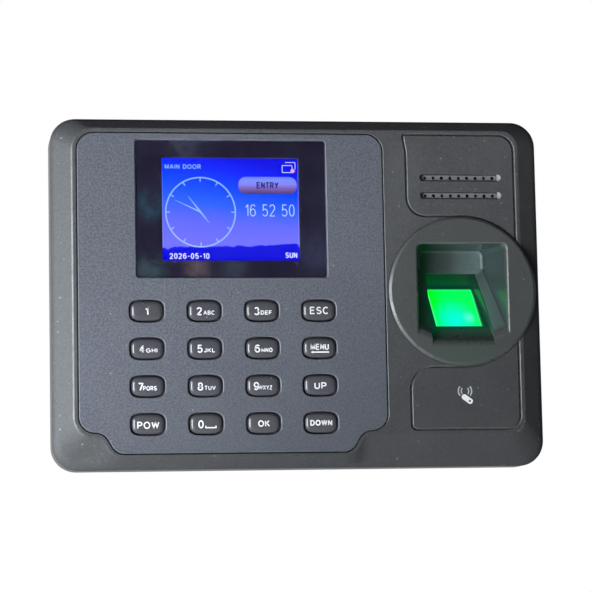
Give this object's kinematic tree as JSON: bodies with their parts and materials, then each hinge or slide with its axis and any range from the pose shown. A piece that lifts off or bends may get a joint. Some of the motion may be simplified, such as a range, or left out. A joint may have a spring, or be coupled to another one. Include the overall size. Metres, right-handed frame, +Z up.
{
  "type": "fingerprint scanner terminal",
  "caption": "Wall-mounted terminal with a colour display, a sprung number keypad and a round finger recess over a lit optical fingerprint sensor, in a moulded plastic housing.",
  "frame": {"origin": "centre of the wall plate's back face, on the wall", "axes": "+Y into the wall (the front faces -Y), +X to the right for someone in front of it, +Z up"},
  "size_m": [0.2068, 0.0395, 0.1466],
  "materials": {
    "housing": "moulded ABS, fine spark-eroded grain, satin bevels",
    "faceplate": "moulded ABS, fine spark-eroded grain",
    "key": "smooth semi-gloss moulding with printed digits",
    "mat": "silicone, matt",
    "window": "polished acrylic, black border printed behind",
    "lcd": "lit colour display behind polished glass",
    "steel": "zinc-plated",
    "board": "glass-fibre laminate with green resist",
    "socket": "black moulded nylon",
    "prism": "polished, lit green from behind",
    "optics": "black, matt inside and out",
    "magnet": "pressed and plated",
    "cone": "doped paper",
    "foam": "closed-cell foam",
    "copper": "enamelled copper winding",
    "ribbon": "flat flexible film",
    "cable": "sleeved lead"
  },
  "bodies": {
    "terminal": {"front_housing": "housing", "rear_cover": "housing", "sensor_bezel": "housing", "keypad_faceplate": "faceplate", "keypad_mat": "mat", "display_window": "window", "lcd_panel": "lcd", "lcd_frame": "steel", "wall_plate": "steel", "lock_screw": "steel", "housing_screw_1": "steel", "housing_screw_2": "steel", "housing_screw_3": "steel", "housing_screw_4": "steel", "processor_module": "steel", "coin_cell": "steel", "network_socket": "steel", "usb_socket": "steel", "front_board": "board", "main_board": "board", "sensor_camera_board": "board", "sensor_light_board": "board", "card_antenna_board": "board", "cell_holder": "socket", "power_jack": "socket", "ribbon_socket_front": "socket", "ribbon_socket_main": "socket", "sensor_prism": "prism", "sensor_body": "optics", "sensor_lens": "optics", "speaker_frame": "magnet", "speaker_cone": "cone", "speaker_gasket": "foam", "card_antenna_coil": "copper", "board_ribbon": "ribbon", "sensor_cable": "cable", "speaker_cable": "cable", "antenna_cable": "cable"},
    "key_1": {"key_1": "key"},
    "key_2": {"key_2": "key"},
    "key_3": {"key_3": "key"},
    "key_escape": {"key_escape": "key"},
    "key_4": {"key_4": "key"},
    "key_5": {"key_5": "key"},
    "key_6": {"key_6": "key"},
    "key_menu": {"key_menu": "key"},
    "key_7": {"key_7": "key"},
    "key_8": {"key_8": "key"},
    "key_9": {"key_9": "key"},
    "key_up": {"key_up": "key"},
    "key_power": {"key_power": "key"},
    "key_0": {"key_0": "key"},
    "key_ok": {"key_ok": "key"},
    "key_down": {"key_down": "key"}
  },
  "joints": [
    {"name": "key_1_press", "type": "slide", "parent": "terminal", "child": "key_1", "axis": [0, 1, 0], "range_m": [0, 0.0012], "stiffness_N_per_m": 900, "deforming": ["keypad_mat"]},
    {"name": "key_2_press", "type": "slide", "parent": "terminal", "child": "key_2", "axis": [0, 1, 0], "range_m": [0, 0.0012], "stiffness_N_per_m": 900, "deforming": ["keypad_mat"]},
    {"name": "key_3_press", "type": "slide", "parent": "terminal", "child": "key_3", "axis": [0, 1, 0], "range_m": [0, 0.0012], "stiffness_N_per_m": 900, "deforming": ["keypad_mat"]},
    {"name": "key_escape_press", "type": "slide", "parent": "terminal", "child": "key_escape", "axis": [0, 1, 0], "range_m": [0, 0.0012], "stiffness_N_per_m": 900, "deforming": ["keypad_mat"]},
    {"name": "key_4_press", "type": "slide", "parent": "terminal", "child": "key_4", "axis": [0, 1, 0], "range_m": [0, 0.0012], "stiffness_N_per_m": 900, "deforming": ["keypad_mat"]},
    {"name": "key_5_press", "type": "slide", "parent": "terminal", "child": "key_5", "axis": [0, 1, 0], "range_m": [0, 0.0012], "stiffness_N_per_m": 900, "deforming": ["keypad_mat"]},
    {"name": "key_6_press", "type": "slide", "parent": "terminal", "child": "key_6", "axis": [0, 1, 0], "range_m": [0, 0.0012], "stiffness_N_per_m": 900, "deforming": ["keypad_mat"]},
    {"name": "key_menu_press", "type": "slide", "parent": "terminal", "child": "key_menu", "axis": [0, 1, 0], "range_m": [0, 0.0012], "stiffness_N_per_m": 900, "deforming": ["keypad_mat"]},
    {"name": "key_7_press", "type": "slide", "parent": "terminal", "child": "key_7", "axis": [0, 1, 0], "range_m": [0, 0.0012], "stiffness_N_per_m": 900, "deforming": ["keypad_mat"]},
    {"name": "key_8_press", "type": "slide", "parent": "terminal", "child": "key_8", "axis": [0, 1, 0], "range_m": [0, 0.0012], "stiffness_N_per_m": 900, "deforming": ["keypad_mat"]},
    {"name": "key_9_press", "type": "slide", "parent": "terminal", "child": "key_9", "axis": [0, 1, 0], "range_m": [0, 0.0012], "stiffness_N_per_m": 900, "deforming": ["keypad_mat"]},
    {"name": "key_up_press", "type": "slide", "parent": "terminal", "child": "key_up", "axis": [0, 1, 0], "range_m": [0, 0.0012], "stiffness_N_per_m": 900, "deforming": ["keypad_mat"]},
    {"name": "key_power_press", "type": "slide", "parent": "terminal", "child": "key_power", "axis": [0, 1, 0], "range_m": [0, 0.0012], "stiffness_N_per_m": 900, "deforming": ["keypad_mat"]},
    {"name": "key_0_press", "type": "slide", "parent": "terminal", "child": "key_0", "axis": [0, 1, 0], "range_m": [0, 0.0012], "stiffness_N_per_m": 900, "deforming": ["keypad_mat"]},
    {"name": "key_ok_press", "type": "slide", "parent": "terminal", "child": "key_ok", "axis": [0, 1, 0], "range_m": [0, 0.0012], "stiffness_N_per_m": 900, "deforming": ["keypad_mat"]},
    {"name": "key_down_press", "type": "slide", "parent": "terminal", "child": "key_down", "axis": [0, 1, 0], "range_m": [0, 0.0012], "stiffness_N_per_m": 900, "deforming": ["keypad_mat"]}
  ]
}
